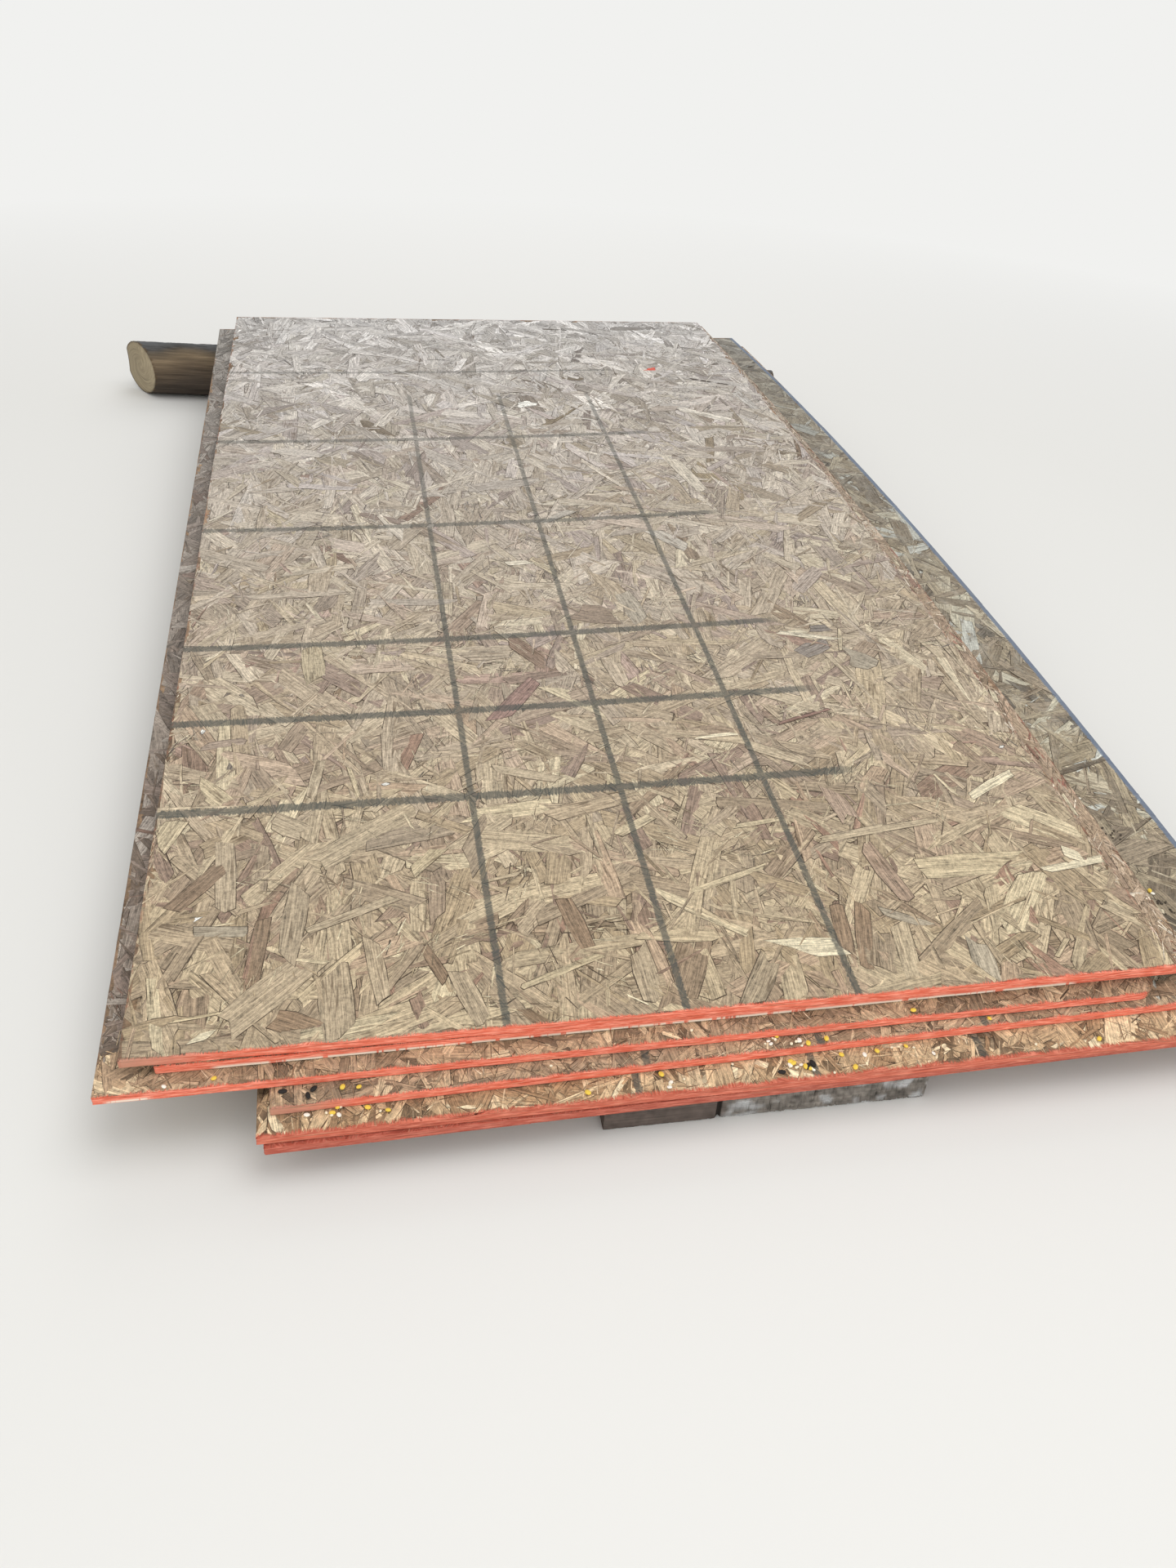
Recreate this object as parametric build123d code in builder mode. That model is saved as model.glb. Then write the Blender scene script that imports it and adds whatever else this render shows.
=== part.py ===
"""Stack of OSB panels: six weathered sheets, lying askew on a log and a length of timber.

Millimetres, +Z up. X runs across the sheets, Y along them, away from the painted short ends
that show in the stepped front of the stack.
"""

import os
from math import asin, atan2, cos, hypot, radians, sin, tan

from build123d import *

# Sheets, nominal 4 ft by 8 ft, 7/16 in thick
sheet_width = 1219.0
sheet_length = 2438.0
sheet_thickness = 11.1
sheet_gap = 0.3
corner_radius = 2.0
broken_corner_radius = 24.0
broken_corner_sheet = "third_sheet"

# Left front corner of each sheet, across and along from the top sheet's, and its turn in degrees
sheet_places = {
    "top_sheet": (0.0, 0.0, 0.0),
    "second_sheet": (35.0, -2.5, 0.45),
    "third_sheet": (-26.0, -26.0, 0.4),
    "fourth_sheet": (152.0, -52.0, 1.3),
    "fifth_sheet": (138.0, -79.0, 0.5),
    "bottom_sheet": (145.0, -84.0, 1.1),
}

# Warp: the right long edge stands up in an arch, highest at the middle of its length
warp_rise = 36.0
warp_start = -80.0
warp_length = 2500.0
skin_margin = 120.0

# Front bearer, a sawn timber laid flat
timber_thickness = 38.0
timber_width = 89.0
timber_length = 380.0
timber_left = 508.0
timber_front = -68.0
timber_edge_radius = 3.0

# Rear bearer, a log that lies askew, its left end sawn at a slant
log_radius = 65.0
log_left = -306.0
log_right = 1390.0
log_past_end = 14.0
log_askew = 200.0
log_cut_angle = 38.0

seat_clearance = 0.2


def warp_net(across, along):
    """Control points of the warped skin: height = rise * (x / width)^2 * 4 v (1 - v)."""

    def pairs(low, high):
        return [(low, low), (low, high), (high, high)]

    def height(x_pair, y_pair):
        lift = x_pair[0] * x_pair[1] / sheet_width**2
        v, w = [(y - warp_start) / warp_length for y in y_pair]
        return warp_rise * lift * (2 * (v + w) - 4 * v * w)

    return [
        [(sum(xs) / 2, sum(ys) / 2, height(xs, ys)) for ys in pairs(*along)]
        for xs in pairs(*across)
    ]


# The pile leans: its underside touches the timber's front arris and the log's back
seat_height = timber_thickness + seat_clearance
log_axis_at_left = sheet_length + log_past_end
log_run = log_axis_at_left - timber_front
log_drop = log_radius - seat_height
lean = atan2(log_drop, log_run) + asin((log_radius + seat_clearance) / hypot(log_run, log_drop))
pile_foot = seat_height - timber_front * tan(lean)
underside = Plane(origin=(0, 0, pile_foot), x_dir=(1, 0, 0), z_dir=(0, -sin(lean), cos(lean)))

# The skin reaches past every sheet of the pile
lefts, fronts, turns = zip(*sheet_places.values())
skin_across = (min(lefts) - skin_margin, max(lefts) + sheet_width + skin_margin)
skin_along = (min(fronts) - skin_margin, max(fronts) + sheet_length + skin_margin)


def skin(level):
    """The warped surface at a height above the pile's underside."""
    surface = Face.make_bezier_surface(warp_net(skin_across, skin_along))
    return underside.offset(level).location * surface


pieces = []

for count, (name, (left, front, turn)) in enumerate(reversed(sheet_places.items())):
    level = count * (sheet_thickness + sheet_gap)
    with BuildPart() as sheet:
        with BuildSketch(underside.offset(level - skin_margin)):
            with Locations((left, front)):
                Rectangle(sheet_width, sheet_length, rotation=turn, align=Align.MIN)
            right_front = vertices().sort_by(Axis.Y)[:2].sort_by(Axis.X)[-1]
            other_corners = vertices().filter_by(lambda corner: corner != right_front)
            fillet(other_corners, corner_radius)
            broken = name == broken_corner_sheet
            right_front = vertices().sort_by_distance(right_front)[0]
            fillet(right_front, broken_corner_radius if broken else corner_radius)
        extrude(amount=sheet_thickness + 2 * skin_margin)
        extrude(skin(level), amount=sheet_thickness, dir=underside.z_dir, mode=Mode.INTERSECT)
    sheet.part.label = name
    pieces.append(sheet.part)

with BuildPart() as front_bearer:
    with BuildSketch(Plane.YZ.offset(timber_left)):
        with Locations((timber_front, 0)):
            RectangleRounded(
                timber_width, timber_thickness, timber_edge_radius, align=(Align.MIN, Align.MIN)
            )
    extrude(amount=timber_length)
front_bearer.part.label = "front_bearer"
pieces.append(front_bearer.part)

# The log lies on the floor, and tapers so that its back stays against the leaning pile
log_heading = atan2(-log_askew, log_right - log_left)
log_axis_at_right = log_axis_at_left - log_askew
pile_above_right = (pile_foot + log_axis_at_right * tan(lean)) * cos(lean)
log_right_radius = (pile_above_right - seat_clearance) / (1 + cos(lean))
cut_heading = log_heading + radians(log_cut_angle)
cut_setback = log_radius * tan(radians(log_cut_angle))
log_axis = Vector(log_right - log_left, -log_askew, log_right_radius - log_radius)
along_log = Plane(
    origin=(log_left, log_axis_at_left, log_radius), x_dir=(0, 0, -1), z_dir=log_axis
)
from_left_end = (Align.CENTER, Align.CENTER, Align.MIN)

with BuildPart(along_log) as rear_bearer:
    Cone(log_radius, log_right_radius, log_axis.length, align=from_left_end)
    slant_cut = Plane(
        origin=(log_left + cut_setback, log_axis_at_left, log_radius),
        z_dir=(cos(cut_heading), sin(cut_heading), 0),
    )
    split(bisect_by=slant_cut, keep=Keep.TOP)
rear_bearer.part.label = "rear_bearer_log"
pieces.append(rear_bearer.part)

# The origin is on the floor, under the middle of everything
bounds = BoundBox(pieces[0].bounding_box().wrapped)
for piece in pieces[1:]:
    bounds = bounds.add(piece.bounding_box())
to_origin = Location((-bounds.center().X, -bounds.center().Y, 0))

os.makedirs("parts", exist_ok=True)
for piece in pieces:
    piece.location = to_origin * piece.location
    export_step(piece, f"parts/{piece.label}.step")
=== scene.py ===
"""Looks of the stack of OSB panels: strands, painted edges, guide lines, bearers and dirt."""

import logging
import math
from collections.abc import Callable
from dataclasses import dataclass, field
from enum import Enum
from functools import partial

import bmesh
import bpy
import numpy as np
from mathutils import Matrix, Vector


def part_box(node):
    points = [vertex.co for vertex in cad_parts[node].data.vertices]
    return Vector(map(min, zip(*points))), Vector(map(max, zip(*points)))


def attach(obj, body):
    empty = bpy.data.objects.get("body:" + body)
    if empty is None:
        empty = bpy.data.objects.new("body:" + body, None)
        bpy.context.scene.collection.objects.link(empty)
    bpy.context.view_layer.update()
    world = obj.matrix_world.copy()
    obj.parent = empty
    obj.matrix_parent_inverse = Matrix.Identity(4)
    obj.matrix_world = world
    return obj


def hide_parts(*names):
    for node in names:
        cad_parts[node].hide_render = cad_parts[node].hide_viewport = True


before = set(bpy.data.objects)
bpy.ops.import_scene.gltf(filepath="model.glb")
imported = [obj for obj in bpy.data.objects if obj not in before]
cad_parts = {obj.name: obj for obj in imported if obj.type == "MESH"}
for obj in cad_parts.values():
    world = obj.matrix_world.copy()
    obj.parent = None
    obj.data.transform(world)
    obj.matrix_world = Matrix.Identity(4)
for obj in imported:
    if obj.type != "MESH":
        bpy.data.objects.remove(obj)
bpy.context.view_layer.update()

log = logging.getLogger("osb_stack")
logging.basicConfig(level=logging.INFO, format="%(message)s")

Array = np.ndarray
Rng = np.random.Generator
Socket = bpy.types.NodeSocket

# Lengths are in millimetres, and MM turns them to Blender's metres
MM = 0.001
SHEET_WIDTH = 1219.0
SHEET_LENGTH = 2438.0
SHEET_THICKNESS = 11.1
SHEET_PITCH = 11.4
TOP_LEVEL = 5
# How deep the strands reach under a face, how thick one is, and how far all stays off the outline
FACE_LAYER = 1.2
FLAKE_THICKNESS = 0.16
EDGE_CLEARANCE = 0.4
CORNER_RADIUS = 2.0
# Spread of brightness between strands of one colour
TONE_SPREAD = 0.05
# Faces that meet at more than this angle keep a sharp edge
SMOOTH_ANGLE = math.radians(40)
BODY = "root"


def linear(hex_code: str) -> Array:
    """Turns an sRGB hex value into linear red, green and blue.

    Args:
        hex_code: six hex digits, with or without a leading hash.

    Returns:
        The three linear values.
    """
    digits = hex_code.lstrip("#")
    srgb = np.array([int(digits[i : i + 2], 16) for i in (0, 2, 4)]) / 255.0
    return np.where(srgb <= 0.04045, srgb / 12.92, ((srgb + 0.055) / 1.055) ** 2.4)


def smooth_noise(rng: Rng, shape: tuple[int, ...], reach: int) -> Array:
    """Noise of about unit size, smoothed round the last axis by a box filter run twice.

    Args:
        rng: the seeded generator.
        shape: the array's shape.
        reach: the filter's width in samples.

    Returns:
        The noise array, periodic along its last axis.
    """
    noise = rng.standard_normal(shape)
    kernel = np.ones(reach) / reach
    spectrum = np.fft.rfft(noise, axis=-1) * np.fft.rfft(kernel, shape[-1]) ** 2
    noise = np.fft.irfft(spectrum, shape[-1], axis=-1)
    return noise / (noise.std() + 1e-9)


class Wood(Enum):
    """Groups of colours that strands are drawn from, as sRGB hex values with their shares."""

    WEATHERED = {
        "AE9B80": 22, "B6A487": 18, "A39074": 18, "AE977E": 11, "9E8C74": 11,
        "BCAA8C": 8, "95816A": 7, "C6B697": 4, "8C7563": 6, "9A836D": 4, "9B7D69": 2,
    }
    # In FINES, 6B5B48 and 4E4134, a fifth of the draws, are painted shadows among the curled fines
    FINES = {
        "B5A589": 22, "C9BC9D": 15, "9F8E72": 20, "8A7962": 15, "6B5B48": 12,
        "4E4134": 8, "D8CCAE": 4,
    }
    SHELTERED = {
        "AA8F74": 22, "B89B7C": 20, "987E64": 16, "C3A888": 12, "86705A": 12,
        "6E5A47": 8, "D2BA98": 8,
    }
    GOLDEN = {
        "C0A37F": 22, "CDB18C": 20, "AB8B69": 16, "D9C09B": 12, "96795B": 12,
        "7A644B": 8, "E3D0AD": 4,
    }
    LEDGE = {
        "A88A6A": 20, "BD9F7D": 18, "8E7055": 18, "D3BB99": 11, "735840": 11,
        "563F2E": 5, "E3CFB0": 3,
    }
    MOTTLED = {
        "A6987F": 22, "BAAE96": 13, "8C7E69": 19, "CDC5AE": 6, "776A59": 11,
        "9A8B76": 20, "645A4D": 3, "C6C6BC": 6,
    }
    SHADED = {
        "85756A": 24, "766659": 24, "93867A": 18, "685A4F": 16, "A69B90": 9,
        "7A5F51": 9,
    }
    BROKEN = {
        "B8A28B": 24, "A8927A": 24, "DACCB8": 10, "9A846E": 18, "AC917B": 9,
        "9A6555": 3, "7C6853": 11,
    }
    PALE = {"BFAE8E": 1}
    CREAM = {"CEC2A6": 1}
    STRAW = {"B2A186": 1}
    TAN = {"A8977E": 1}
    GREY = {"A49884": 1}
    PINK = {"9F8873": 1}
    BROWN = {"8A745D": 1}
    RUST = {"805D4E": 1}
    DARK = {"6A5D4F": 1}
    WHITE = {"E9E6DE": 1}
    RED = {"D9604E": 1}

    def draw(self, rng: Rng, count: int) -> Array:
        """Linear colours of that many strands.

        Args:
            rng: the seeded generator.
            count: how many strands.

        Returns:
            An array of linear colours, one row a strand.
        """
        colours = np.array([linear(code) for code in self.value])
        share = np.array(list(self.value.values()), float)
        picked = colours[rng.choice(len(colours), count, p=share / share.sum())]
        return picked * (1 + TONE_SPREAD * rng.standard_normal((count, 1)))


def turned(
    x: Array, y: Array, angle: Array | float, middle: tuple = (0.0, 0.0)
) -> tuple[Array, Array]:
    """Turns points about the origin and then moves it to a middle.

    Args:
        x: the points' first coordinates.
        y: their second coordinates.
        angle: how far they turn, anticlockwise in radians.
        middle: where the origin goes.

    Returns:
        The new coordinates.
    """
    s, c = np.sin(angle), np.cos(angle)
    return middle[0] + x * c - y * s, middle[1] + x * s + y * c


def run_along(path: Array) -> Array:
    """How far along a path each of its points lies."""
    return np.concatenate([[0], np.cumsum(np.hypot(*np.diff(path, axis=0).T))])


def rounded_outline(
    size: tuple[float, float], radii: tuple, arc_points: int, step: float, first: int = 0
) -> tuple[Array, Array]:
    """A rectangle's outline, anticlockwise, with arcs for corners and points along its flats.

    Args:
        size: its width and length.
        radii: the radii of its corners, from the left front one on.
        arc_points: how many points an arc has.
        step: about how far apart the points of a flat are.
        first: the corner that it starts at.

    Returns:
        The points and their outward directions.
    """
    points, outward = [], []
    corners = np.array([(0, 0), (1, 0), (1, 1), (0, 1)]) * size
    inward = np.where(corners == 0, 1, -1)
    for number in range(first, first + 4):
        here, after, axis = number % 4, (number + 1) % 4, number % 2
        turn = np.radians(np.linspace(180, 270, arc_points) + 90 * here)
        away = np.stack([np.cos(turn), np.sin(turn)], -1)
        points.append(corners[here] + inward[here] * radii[here] + away * radii[here])
        begin, end = points[-1][-1], corners[here].copy()
        end[axis] = corners[after][axis] + radii[after] * inward[after][axis]
        count = int(np.hypot(*(end - begin)) / step)
        share = np.linspace(0, 1, count + 1)[1:-1, None]
        points.append(begin + (end - begin) * share)
        outward += [away, np.tile(away[-1], (len(share), 1))]
    return np.concatenate(points), np.concatenate(outward)


@dataclass(frozen=True)
class Pile:
    """How the pile lies, in millimetres: its lean on the bearers and the warp all sheets share."""

    warp_rise: float = 36.0
    warp_start: float = -80.0
    warp_length: float = 2500.0
    timber_thickness: float = 38.0
    timber_left: float = 508.0
    timber_front: float = -68.0
    log_radius: float = 65.0
    log_past_end: float = 14.0
    clearance: float = 0.2

    @property
    def lean(self) -> float:
        """Angle of the line that touches the timber's front arris and the log's back.

        Returns:
            The slope between arris and log axis, plus the angle that the log's radius takes up.
        """
        run = SHEET_LENGTH + self.log_past_end - self.timber_front
        drop = self.log_radius - self.timber_thickness - self.clearance
        reach = (self.log_radius + self.clearance) / math.hypot(run, drop)
        return math.atan2(drop, run) + math.asin(reach)

    @property
    def foot(self) -> float:
        """Height of the pile's underside over the floor at the top sheet's front."""
        seat = self.timber_thickness + self.clearance
        return seat - self.timber_front * math.tan(self.lean)

    @property
    def shift(self) -> tuple[float, float]:
        """From the top sheet's left front corner to the model's origin, across and along."""
        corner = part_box("front_bearer")[0]
        return corner[0] / MM - self.timber_left, corner[1] / MM - self.timber_front

    def warp(self, x: Array, y: Array) -> Array:
        """Height of the warp: rise times the width share squared, times 4 v (1 - v)."""
        v = (y - self.warp_start) / self.warp_length
        return self.warp_rise * (x / SHEET_WIDTH) ** 2 * 4 * v * (1 - v)

    def place(self, x: Array, y: Array, z: Array, warped: bool = True) -> Array:
        """World points: pile points turned about X by the lean and set on the pile's foot.

        Args:
            x: places across the pile.
            y: places along it.
            z: heights over its underside.
            warped: whether the heights follow the warp.

        Returns:
            The points in metres, on a last axis of three.
        """
        s, c = math.sin(self.lean), math.cos(self.lean)
        dx, dy = self.shift
        x, y, z = np.broadcast_arrays(x, y, z + self.warp(x, y) if warped else z)
        return np.stack([x + dx, y * c - z * s + dy, self.foot + y * s + z * c], -1) * MM


PILE = Pile()


def add_object(name: str, data: bpy.types.ID) -> bpy.types.Object:
    """A new object in the scene that shows a mesh, a camera or a lamp."""
    thing = bpy.data.objects.new(name, data)
    bpy.context.scene.collection.objects.link(thing)
    return thing


@dataclass
class Patch:
    """Part of a mesh as arrays: points, values at each point, and faces as index rows.

    The grain map runs along and across a strand's fibres, the sheet map across and along the
    sheet, both in metres. The rim is 0 at a strand's foot, where the finish paints shade into the
    seam, 1 on top, and up to 2 where the seal is chipped off. The sheet map may be left to follow
    the grain map, and the rim to be 1.
    """

    points: Array
    grain: Array
    tone: Array
    faces: list
    sheet: Array | None = None
    rim: Array | None = None

    def __post_init__(self) -> None:
        """Flattens grids of values to one row a point, and fills in what was left out."""
        self.points, self.tone = (v.reshape(-1, 3) for v in (self.points, self.tone))
        self.grain = self.grain.reshape(-1, 2)
        self.sheet = self.grain if self.sheet is None else self.sheet.reshape(-1, 2)
        self.rim = np.ones(len(self.points)) if self.rim is None else self.rim.ravel()

    @staticmethod
    def join(patches: list["Patch"]) -> "Patch":
        """One patch of several, with their faces renumbered.

        Args:
            patches: the patches to join.

        Returns:
            The joined patch.
        """
        starts = np.cumsum([0] + [len(p.points) for p in patches])
        faces = [f + start for p, start in zip(patches, starts) for f in p.faces]
        names = ("points", "grain", "tone", "sheet", "rim")
        values = {name: np.concatenate([getattr(p, name) for p in patches]) for name in names}
        return Patch(**values, faces=faces)

    def build(
        self, name: str, finish: bpy.types.Material, slot: str, smooth: bool = False
    ) -> bpy.types.Object:
        """Puts the patch into a mesh object that rides on the body.

        Args:
            name: the object's name.
            finish: its material.
            slot: the record's material slot; not used.
            smooth: whether its faces are shaded smooth.

        Returns:
            The new object.
        """
        index = np.concatenate([f.ravel() for f in self.faces]).astype(np.int32)
        sizes = np.concatenate([np.full(len(f), f.shape[1]) for f in self.faces])
        mesh = bpy.data.meshes.new(name)
        mesh.vertices.add(len(self.points))
        mesh.vertices.foreach_set("co", self.points.astype(np.float32).ravel())
        mesh.loops.add(len(index))
        mesh.loops.foreach_set("vertex_index", index)
        mesh.polygons.add(len(sizes))
        starts = np.concatenate([[0], np.cumsum(sizes)[:-1]]).astype(np.int32)
        mesh.polygons.foreach_set("loop_start", starts)
        mesh.update(calc_edges=True)
        for layer, values in (("grain", self.grain), ("sheet", self.sheet)):
            uv = mesh.uv_layers.new(name=layer)
            uv.data.foreach_set("uv", values[index].astype(np.float32).ravel())
        rgba = np.concatenate([self.tone, np.ones((len(self.tone), 1))], 1)
        for layer, kind, key, values in (
            ("tone", "FLOAT_COLOR", "color", rgba), ("rim", "FLOAT", "value", self.rim),
        ):
            attribute = mesh.attributes.new(layer, kind, "POINT")
            attribute.data.foreach_set(key, values.astype(np.float32).ravel())
        mesh.polygons.foreach_set("use_smooth", np.full(len(sizes), smooth))
        if smooth:
            mesh.set_sharp_from_angle(angle=SMOOTH_ANGLE)
        mesh.materials.append(finish)
        piece = add_object(name, mesh)
        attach(piece, BODY)
        log.info("%s: %d triangles", name, int((sizes - 2).sum()))
        return piece


def grid_faces(rows: int, columns: int, closed: bool = False) -> Array:
    """Quads of a grid of points numbered row by row.

    Args:
        rows: how many rows of points.
        columns: how many points a row.
        closed: whether the last column joins the first.

    Returns:
        An array of four indices a quad.
    """
    count = columns if closed else columns - 1
    r, c = np.meshgrid(np.arange(rows - 1), np.arange(count), indexing="ij")
    after = (c + 1) % columns
    quads = [r * columns + c, r * columns + after, (r + 1) * columns + after, (r + 1) * columns + c]
    return np.stack(quads, -1).reshape(-1, 4)


def close_up(piece: bpy.types.Object) -> None:
    """Joins a mesh's parts where their points meet and turns all its faces outwards.

    Args:
        piece: the mesh object.
    """
    mesh = bmesh.new()
    mesh.from_mesh(piece.data)
    bmesh.ops.remove_doubles(mesh, verts=mesh.verts, dist=0.00001)
    bmesh.ops.recalc_face_normals(mesh, faces=mesh.faces)
    mesh.to_mesh(piece.data)
    mesh.free()
    piece.data.set_sharp_from_angle(angle=SMOOTH_ANGLE)


def add_node(
    tree: bpy.types.NodeTree, kind: str, *inputs: Socket | float | tuple | str, **settings: object
) -> Socket | None:
    """Adds a node with its settings and links.

    Args:
        tree: the node tree.
        kind: the node's type name after "ShaderNode".
        inputs: what its live inputs take, in order: a socket, a number, a tuple or a hex colour.
        settings: its properties, and inputs by their capitalised names with _ for a space.

    Returns:
        The node's first live output, or None where it has none.
    """
    node = tree.nodes.new(f"ShaderNode{kind}")
    for name, value in settings.items():
        if name[0].islower():
            setattr(node, name, value)
    pairs = list(zip([socket for socket in node.inputs if socket.enabled], inputs))
    pairs += [
        (node.inputs[name.replace("_", " ")], value)
        for name, value in settings.items() if name[0].isupper()
    ]
    for socket, value in pairs:
        if isinstance(value, Socket):
            tree.links.new(value, socket)
        else:
            socket.default_value = (*linear(value), 1.0) if isinstance(value, str) else value
    return next((socket for socket in node.outputs if socket.enabled), None)


@dataclass(frozen=True)
class Pattern:
    """Noise on a UV map, with a number of grains to the metre along the map's two axes.

    With a ramp, a gain and an offset, it is a mask: gain times noise plus offset, from 0 to 1.
    """

    uv: str
    first: float
    second: float
    detail: float = 2.0
    roughness: float = 0.5
    ramp: tuple = ()

    def make(self, add: Callable, seed: float) -> Socket:
        """Adds the pattern's nodes.

        Args:
            add: the function that adds a node.
            seed: moves the noise, so that no two finishes have the same.

        Returns:
            The pattern's value.
        """
        place = (seed, seed * 1.7, 0.0)
        uv = add("Mapping", add("UVMap", uv_map=self.uv), place, Scale=(self.first, self.second, 1.0))
        noise = add("TexNoise", uv, 1.0, self.detail, self.roughness, noise_dimensions="2D")
        if not self.ramp:
            return noise
        return add("Math", noise, *self.ramp, operation="MULTIPLY_ADD", use_clamp=True)


def clear_nodes(owner: bpy.types.Material | bpy.types.World) -> Callable:
    """Empties the nodes of a material or world, and gives the function that adds to them."""
    owner.use_nodes = True
    owner.node_tree.nodes.clear()
    return partial(add_node, owner.node_tree)


class Surface:
    """A material that is being made: its nodes, and its values by name."""

    def __init__(self, name: str, patterns: dict[str, Pattern], seed: float = 0.0) -> None:
        """Starts the material with the patterns, the place on the sheet in mm and the rim.

        Args:
            name: the material's name.
            patterns: the patterns by name.
            seed: where their noises start.
        """
        self.material = bpy.data.materials.new(name)
        self.add = clear_nodes(self.material)
        self.at = {key: pattern.make(self.add, seed) for key, pattern in patterns.items()}
        place = self.add("SeparateXYZ", self.add("UVMap", uv_map="sheet")).node.outputs
        for axis in "XY":
            self.at[axis.lower()] = self.add("Math", place[axis], MM, operation="DIVIDE")
        self.at["rim"] = self.add("Attribute", attribute_name="rim").node.outputs["Fac"]

    def weigh(self, offset: float, gains: dict[str, float], clamp: bool = True) -> Socket:
        """A weighted sum of values: the offset plus each value times its gain.

        Args:
            offset: the offset.
            gains: the gains by value.
            clamp: whether the sum is held between 0 and 1, as a mask is.

        Returns:
            The sum.
        """
        total = offset
        for name, gain in gains.items():
            total = self.add("Math", self.at[name], gain, total, operation="MULTIPLY_ADD")
        total.node.use_clamp = clamp
        return total

    def shaded(self, gains: dict[str, float]) -> Socket:
        """The points' own colours, times 1 plus each pattern's gain times its rise over a half."""
        light = self.weigh(1 - sum(gains.values()) / 2, gains, clamp=False)
        tone = self.add("Attribute", attribute_name="tone")
        return self.add("VectorMath", tone, light, operation="SCALE")

    def layer(self, under: Socket | str, over: Socket | str, *shares: Socket | str | float) -> Socket:
        """Lays one colour over another, its share the product of several values.

        Args:
            under: the colour below.
            over: the colour laid over it.
            shares: the values, as sockets, names or numbers.

        Returns:
            The mixed colour.
        """
        share, *factors = (self.at[s] if isinstance(s, str) else s for s in shares)
        for factor in factors:
            share = self.add("Math", share, factor, operation="MULTIPLY")
        return self.add("Mix", share, under, over, data_type="RGBA")

    def finish(self, colour: Socket, relief: Socket, relief_mm: float, strength: float,
               **shader: float) -> bpy.types.Material:
        """Closes the material with its shader.

        Args:
            colour: the base colour.
            relief: the height that the bump follows.
            relief_mm: how high a relief of 1 stands.
            strength: how far the bump tells.
            shader: further inputs of the shader.

        Returns:
            The material.
        """
        bump = self.add("Bump", strength, relief_mm * MM, Height=relief)
        self.add("OutputMaterial", self.add("BsdfPrincipled", colour, Normal=bump, **shader))
        return self.material


# Patterns of OSB. Those on the grain map run along and across a strand, or along and up an edge;
# those on the sheet map run across and along the sheet
OSB_PATTERNS = {
    # Fibres 67 by 2.8 mm, several times as coarse as real ones, so that they show from the camera
    "fibre": Pattern("grain", 15.0, 360.0, 4.0, 0.7),
    # Finer fibres 1 mm apart, about twice their real width
    "fine": Pattern("grain", 34.0, 1000.0, 2.0, 0.65),
    # Growth rings, 11 mm apart because the flaker meets them at a slant
    "rings": Pattern("grain", 4.0, 95.0, 1.0),
    # Splits along the grain 16 mm apart, in patches of 33 mm where the face is torn
    "split": Pattern("grain", 5.0, 62.0),
    "torn": Pattern("sheet", 30.0, 30.0, ramp=(4.0, -1.7)),
    # Grit and spots of mould, 6 mm and finer
    "speck": Pattern("sheet", 160.0, 160.0, 5.0, 0.85),
    # Weather: grey over 110 mm and bleached flakes of 33 by 56 mm; painted shade in open seams for 36 mm
    # at a time
    "blotch": Pattern("sheet", 9.0, 9.0, 4.0, 0.6, (1.6, -0.62)),
    "pale": Pattern("sheet", 30.0, 18.0, 5.0, 0.75, (5.0, -2.4)),
    "patchy": Pattern("sheet", 28.0, 28.0, 3.0, ramp=(6.0, -2.1)),
    # Printed lines are feathered by steps of 3 mm, and the cross lines by finer ones along them
    "feather_long": Pattern("sheet", 60.0, 330.0),
    "feather_cross": Pattern("sheet", 420.0, 70.0, 3.0),
    # Spray: whiskers 1.4 mm wide, waves of 26 mm, and flecks of 22 mm on the long edges
    "whisker": Pattern("sheet", 700.0, 60.0, 3.0, 0.7),
    "wave": Pattern("sheet", 38.0, 38.0, 3.0, 0.6),
    "fleck": Pattern("sheet", 45.0, 45.0, 4.0, 0.75, (6.0, -3.2)),
    # The cut edge: pressed layers 1.6 mm thick, which streak the paint thin and thick; painted glints,
    # pale streaks that stand in for highlights; and worn spots
    "strata": Pattern("grain", 9.0, 620.0, 3.0, 0.6),
    "glint": Pattern("grain", 40.0, 460.0, 3.0, 0.7, (3.4, -1.5)),
    "worn": Pattern("grain", 12.0, 380.0, 3.0, 0.7, (7.0, -4.0)),
    # Chips of the seal, 14 mm wide
    "chip": Pattern("sheet", 70.0, 1.0, 3.0, 0.7, (14.0, -5.2)),
}

# Printed lines along the sheet, by their places across it, 16 in from its edge and 8 in apart.
# Those across it are given by their inches from the far end: half the width, and the end
LONG_LINES = (406.4, 609.6, 812.8)
CROSS_LINES = {
    16: (7.2, 915.0), 32: (9.0, 919.0), 48: (9.0, 970.0), 64: (9.0, 960.0), 72: (9.0, 963.0),
    80: (9.0, 956.0),
}


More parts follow.
